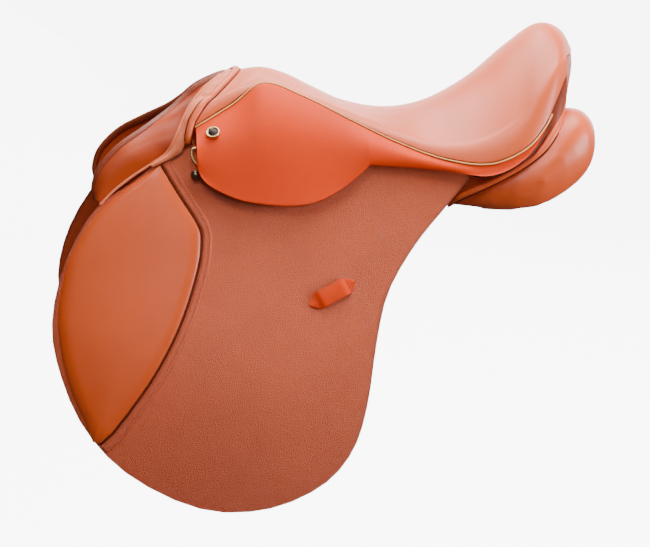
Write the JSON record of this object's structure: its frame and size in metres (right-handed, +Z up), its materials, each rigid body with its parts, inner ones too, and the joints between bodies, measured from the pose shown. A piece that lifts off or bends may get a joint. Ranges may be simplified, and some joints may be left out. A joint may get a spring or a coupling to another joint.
{
  "type": "english saddle",
  "caption": "English jumping saddle: dished leather seat on a sprung tree, forward-cut flaps that lift, padded panels, stirrup bars, girth straps and dees.",
  "frame": {"origin": "on the centre plane, at the level where the panels bear on the back, below the deepest part of the seat", "axes": "-X towards the pommel and the horse's head, +X towards the cantle, -Y the near (left) side, +Z up"},
  "size_m": [0.6392, 0.3914, 0.5283],
  "materials": {
    "seat": "smooth tan calf, soft sheen",
    "skirt": "smooth saddle leather, orange tan, waxed",
    "flap": "fine pebbled grain, reddish tan",
    "pad": "smooth soft calf over thin padding",
    "panel": "soft smooth panel leather",
    "strap": "firm strap leather with a cut edge",
    "welt": "pale piping leather",
    "foam": "felted wool and foam",
    "wood": "laminated beech, varnished",
    "web": "woven linen webbing",
    "steel": "forged and brushed",
    "brass": "polished brass, darkened in its hollows"
  },
  "bodies": {
    "saddle": {"seat_cover": "seat", "seat_foam": "foam", "seat_webbing": "web", "tree": "wood", "head_plate": "steel", "front_girth_web": "web", "rear_girth_web": "web", "pommel_binding": "seat", "facing_roll": "panel", "left_skirt_top": "skirt", "left_seat_welt": "welt", "left_flap_head": "flap", "left_knee_pad_top": "pad", "left_sweat_flap": "strap", "left_point_pocket": "strap", "left_panel": "panel", "left_stirrup_bar": "steel", "left_bar_hinge_pin": "steel", "left_dee_staple": "brass", "left_ball_stud": "brass", "left_head_nail": "brass", "right_skirt_top": "skirt", "right_seat_welt": "welt", "right_flap_head": "flap", "right_knee_pad_top": "pad", "right_sweat_flap": "strap", "right_point_pocket": "strap", "right_panel": "panel", "right_stirrup_bar": "steel", "right_bar_hinge_pin": "steel", "right_dee_staple": "brass", "right_ball_stud": "brass", "right_head_nail": "brass"},
    "left_flap": {"left_flap": "flap", "left_knee_pad": "pad", "left_flap_keeper": "skirt"},
    "left_skirt": {"left_skirt": "skirt"},
    "left_catch": {"left_bar_catch": "steel"},
    "left_dee": {"left_dee": "brass"},
    "left_front_billet": {"left_front_billet": "strap"},
    "left_middle_billet": {"left_middle_billet": "strap"},
    "left_rear_billet": {"left_rear_billet": "strap"},
    "left_guard": {"left_buckle_guard": "strap"},
    "right_flap": {"right_flap": "flap", "right_knee_pad": "pad", "right_flap_keeper": "skirt"},
    "right_skirt": {"right_skirt": "skirt"},
    "right_catch": {"right_bar_catch": "steel"},
    "right_dee": {"right_dee": "brass"},
    "right_front_billet": {"right_front_billet": "strap"},
    "right_middle_billet": {"right_middle_billet": "strap"},
    "right_rear_billet": {"right_rear_billet": "strap"},
    "right_guard": {"right_buckle_guard": "strap"}
  },
  "joints": [
    {"name": "left_flap_lift", "type": "hinge", "parent": "saddle", "child": "left_flap", "pos_m": [-0.08, -0.114, 0.002], "axis": [-0.9988, 0.0499, 0], "range_deg": [0, 70]},
    {"name": "left_skirt_lift", "type": "hinge", "parent": "saddle", "child": "left_skirt", "pos_m": [-0.08, -0.1046, 0.052], "axis": [-0.9988, 0.0499, 0], "range_deg": [0, 60]},
    {"name": "left_bar_catch_fold", "type": "hinge", "parent": "saddle", "child": "left_catch", "pos_m": [-0.119, -0.082, 0.083], "axis": [0, 1, 0], "range_deg": [0, 85]},
    {"name": "left_dee_swing", "type": "hinge", "parent": "saddle", "child": "left_dee", "pos_m": [-0.228, -0.0796, 0.072], "axis": [-0.9988, 0.0499, 0], "range_deg": [0, 14]},
    {"name": "left_front_billet_swing", "type": "hinge", "parent": "saddle", "child": "left_front_billet", "pos_m": [-0.165, -0.0754, 0.014], "axis": [0.0287, -0.9574, 0.2872], "range_deg": [-8, 8]},
    {"name": "left_middle_billet_swing", "type": "hinge", "parent": "saddle", "child": "left_middle_billet", "pos_m": [-0.118, -0.08695, 0.014], "axis": [-0.0478, -0.9567, 0.287], "range_deg": [-8, 8]},
    {"name": "left_rear_billet_swing", "type": "hinge", "parent": "saddle", "child": "left_rear_billet", "pos_m": [-0.071, -0.0826, 0.014], "axis": [-0.0478, -0.9567, 0.287], "range_deg": [-8, 8]},
    {"name": "left_guard_slide", "type": "slide", "parent": "left_middle_billet", "child": "left_guard", "axis": [0, 0.2873, 0.9578], "range_m": [0, 0.06]},
    {"name": "right_flap_lift", "type": "hinge", "parent": "saddle", "child": "right_flap", "pos_m": [-0.08, 0.114, 0.002], "axis": [0.9988, 0.0499, 0], "range_deg": [0, 70]},
    {"name": "right_skirt_lift", "type": "hinge", "parent": "saddle", "child": "right_skirt", "pos_m": [-0.08, 0.1046, 0.052], "axis": [0.9988, 0.0499, 0], "range_deg": [0, 60]},
    {"name": "right_bar_catch_fold", "type": "hinge", "parent": "saddle", "child": "right_catch", "pos_m": [-0.119, 0.082, 0.083], "axis": [0, 1, 0], "range_deg": [0, 85]},
    {"name": "right_dee_swing", "type": "hinge", "parent": "saddle", "child": "right_dee", "pos_m": [-0.228, 0.0796, 0.072], "axis": [0.9988, 0.0499, 0], "range_deg": [0, 14]},
    {"name": "right_front_billet_swing", "type": "hinge", "parent": "saddle", "child": "right_front_billet", "pos_m": [-0.165, 0.0754, 0.014], "axis": [0.0287, 0.9574, 0.2872], "range_deg": [-8, 8]},
    {"name": "right_middle_billet_swing", "type": "hinge", "parent": "saddle", "child": "right_middle_billet", "pos_m": [-0.118, 0.08695, 0.014], "axis": [-0.0478, 0.9567, 0.287], "range_deg": [-8, 8]},
    {"name": "right_rear_billet_swing", "type": "hinge", "parent": "saddle", "child": "right_rear_billet", "pos_m": [-0.071, 0.0826, 0.014], "axis": [-0.0478, 0.9567, 0.287], "range_deg": [-8, 8]},
    {"name": "right_guard_slide", "type": "slide", "parent": "right_middle_billet", "child": "right_guard", "axis": [0, -0.2873, 0.9578], "range_m": [0, 0.06]}
  ]
}
